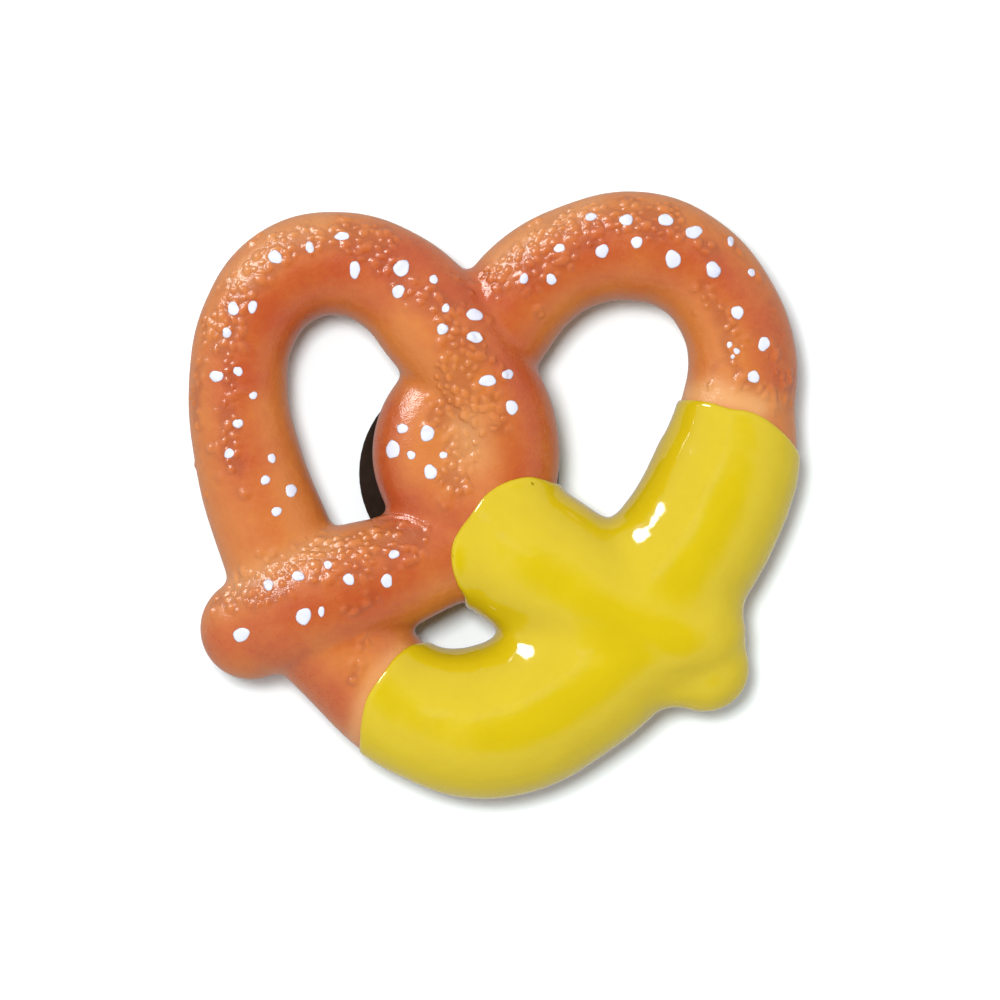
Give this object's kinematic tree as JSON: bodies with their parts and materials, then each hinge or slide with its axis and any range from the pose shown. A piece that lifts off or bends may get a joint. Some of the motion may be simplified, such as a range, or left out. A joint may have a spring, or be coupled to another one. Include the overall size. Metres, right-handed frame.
{
  "type": "soft pretzel fridge magnet",
  "caption": "Novelty fridge magnet cast and painted as a heart-shaped soft pretzel, salted and dipped in mustard, with a flat back and a round disc magnet.",
  "frame": {"origin": "centre of the magnet's back face, the flat that rests on a table or holds to a fridge", "axes": "+Z out of the shown side, away from the surface it lies on; +Y to the top of the heart, between its two lobes; +X to the right as seen from the front"},
  "size_m": [0.0759, 0.0755, 0.0172],
  "materials": {
    "baked_crust": "hand-painted resin, satin clear coat, mottled red-brown over tan",
    "mustard_dip": "thick glossy enamel, mustard yellow",
    "salt_dabs": "dabs of satin white paint",
    "magnet_ferrite": "ground ferrite, matt, nearly black"
  },
  "bodies": {
    "root": {"pretzel": "baked_crust", "magnet": "magnet_ferrite"}
  },
  "joints": []
}
